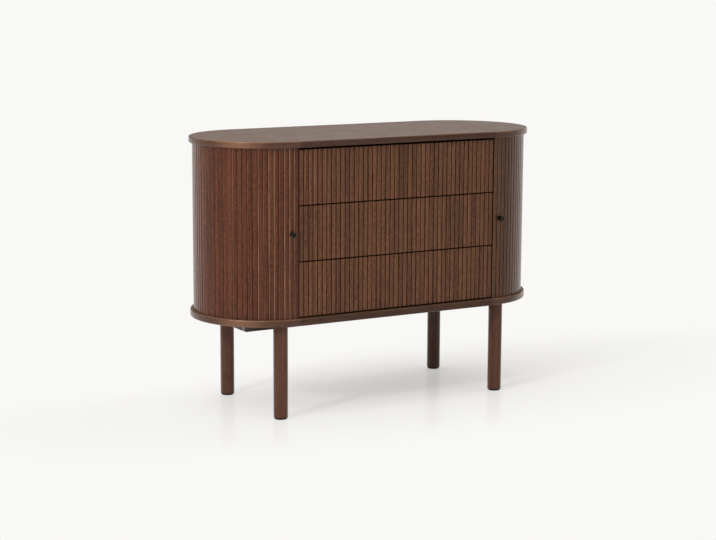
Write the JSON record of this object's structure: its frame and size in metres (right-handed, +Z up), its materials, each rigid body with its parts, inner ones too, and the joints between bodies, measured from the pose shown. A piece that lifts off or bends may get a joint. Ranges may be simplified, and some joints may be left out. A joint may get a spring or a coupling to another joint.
{
  "type": "chest of drawers",
  "caption": "Sideboard chest with half-round ends: push-open slatted drawers in the middle, sliding tambour doors on shelved end compartments, round legs.",
  "frame": {"origin": "on the floor under the middle of the two boards", "axes": "+X along the length to the right, +Y from the drawer fronts to the back, +Z up"},
  "size_m": [1.1, 0.4472, 0.8],
  "materials": {
    "board_wood": "dark brown stain, satin lacquer",
    "slat_wood": "dark brown stain, satin lacquer",
    "leg_wood": "dark brown stain, satin lacquer",
    "underframe_wood": "dark stain, matt",
    "carcass_wood": "dark brown stain, matt",
    "drawer_wood": "dark brown stain, matt",
    "dowel_wood": "bare beech",
    "canvas_cloth": "dark woven cotton",
    "knob_black": "black, satin",
    "runner_steel": "zinc plated",
    "bright_steel": "zinc plated",
    "insert_brass": "turned",
    "latch_plastic": "dark grey, matt",
    "glide_plastic": "dark brown, matt"
  },
  "bodies": {
    "cabinet": {"top_panel": "board_wood", "base_panel": "board_wood", "left_partition": "carcass_wood", "right_partition": "carcass_wood", "inner_back_panel": "carcass_wood", "back_panel": "carcass_wood", "left_rear_liner": "carcass_wood", "right_rear_liner": "carcass_wood", "left_shelf": "carcass_wood", "right_shelf": "carcass_wood", "carcass_dowels": "dowel_wood", "shelf_pins": "bright_steel", "front_left_leg": "leg_wood", "front_right_leg": "leg_wood", "rear_left_leg": "leg_wood", "rear_right_leg": "leg_wood", "leg_studs": "bright_steel", "leg_inserts": "insert_brass", "leg_glides": "glide_plastic", "underframe_long_rails": "underframe_wood", "underframe_cross_rails": "underframe_wood", "cabinet_runners": "runner_steel", "latch_housings": "latch_plastic"},
    "left_door": {"left_door_slats": "slat_wood", "left_door_canvas": "canvas_cloth", "left_lead_rail": "carcass_wood", "left_knob": "knob_black", "left_knob_screw": "bright_steel"},
    "right_door": {"right_door_slats": "slat_wood", "right_door_canvas": "canvas_cloth", "right_lead_rail": "carcass_wood", "right_knob": "knob_black", "right_knob_screw": "bright_steel"},
    "bottom_drawer": {"bottom_drawer_front": "drawer_wood", "bottom_drawer_slats": "slat_wood", "bottom_drawer_left_side": "drawer_wood", "bottom_drawer_right_side": "drawer_wood", "bottom_drawer_back": "drawer_wood", "bottom_drawer_bottom": "drawer_wood", "bottom_drawer_runners": "runner_steel"},
    "bottom_runner": {"bottom_runner_middles": "runner_steel"},
    "bottom_plunger": {"bottom_latch_plunger": "latch_plastic"},
    "middle_drawer": {"middle_drawer_front": "drawer_wood", "middle_drawer_slats": "slat_wood", "middle_drawer_left_side": "drawer_wood", "middle_drawer_right_side": "drawer_wood", "middle_drawer_back": "drawer_wood", "middle_drawer_bottom": "drawer_wood", "middle_drawer_runners": "runner_steel"},
    "middle_runner": {"middle_runner_middles": "runner_steel"},
    "middle_plunger": {"middle_latch_plunger": "latch_plastic"},
    "top_drawer": {"top_drawer_front": "drawer_wood", "top_drawer_slats": "slat_wood", "top_drawer_left_side": "drawer_wood", "top_drawer_right_side": "drawer_wood", "top_drawer_back": "drawer_wood", "top_drawer_bottom": "drawer_wood", "top_drawer_runners": "runner_steel"},
    "top_runner": {"top_runner_middles": "runner_steel"},
    "top_plunger": {"top_latch_plunger": "latch_plastic"}
  },
  "joints": [
    {"name": "left_door_slide", "type": "hinge", "parent": "cabinet", "child": "left_door", "pos_m": [-0.33, 0, 0.5385], "axis": [0, 0, -1], "range_deg": [0, 60]},
    {"name": "right_door_slide", "type": "hinge", "parent": "cabinet", "child": "right_door", "pos_m": [0.33, 0, 0.5385], "axis": [0, 0, 1], "range_deg": [0, 60]},
    {"name": "bottom_drawer_slide", "type": "slide", "parent": "cabinet", "child": "bottom_drawer", "axis": [0, -1, 0], "range_m": [0, 0.3]},
    {"name": "bottom_runner_slide", "type": "slide", "parent": "cabinet", "child": "bottom_runner", "axis": [0, -1, 0], "range_m": [0, 0.15]},
    {"name": "bottom_plunger_press", "type": "slide", "parent": "cabinet", "child": "bottom_plunger", "axis": [0, 1, 0], "range_m": [0, 0.003], "stiffness_N_per_m": 300, "springref_m": -0.008},
    {"name": "middle_drawer_slide", "type": "slide", "parent": "cabinet", "child": "middle_drawer", "axis": [0, -1, 0], "range_m": [0, 0.3]},
    {"name": "middle_runner_slide", "type": "slide", "parent": "cabinet", "child": "middle_runner", "axis": [0, -1, 0], "range_m": [0, 0.15]},
    {"name": "middle_plunger_press", "type": "slide", "parent": "cabinet", "child": "middle_plunger", "axis": [0, 1, 0], "range_m": [0, 0.003], "stiffness_N_per_m": 300, "springref_m": -0.008},
    {"name": "top_drawer_slide", "type": "slide", "parent": "cabinet", "child": "top_drawer", "axis": [0, -1, 0], "range_m": [0, 0.3]},
    {"name": "top_runner_slide", "type": "slide", "parent": "cabinet", "child": "top_runner", "axis": [0, -1, 0], "range_m": [0, 0.15]},
    {"name": "top_plunger_press", "type": "slide", "parent": "cabinet", "child": "top_plunger", "axis": [0, 1, 0], "range_m": [0, 0.003], "stiffness_N_per_m": 300, "springref_m": -0.008}
  ],
  "couplings": [
    {"joint": "bottom_runner_slide", "follows": "bottom_drawer_slide", "ratio": 0.5},
    {"joint": "middle_runner_slide", "follows": "middle_drawer_slide", "ratio": 0.5},
    {"joint": "top_runner_slide", "follows": "top_drawer_slide", "ratio": 0.5}
  ]
}
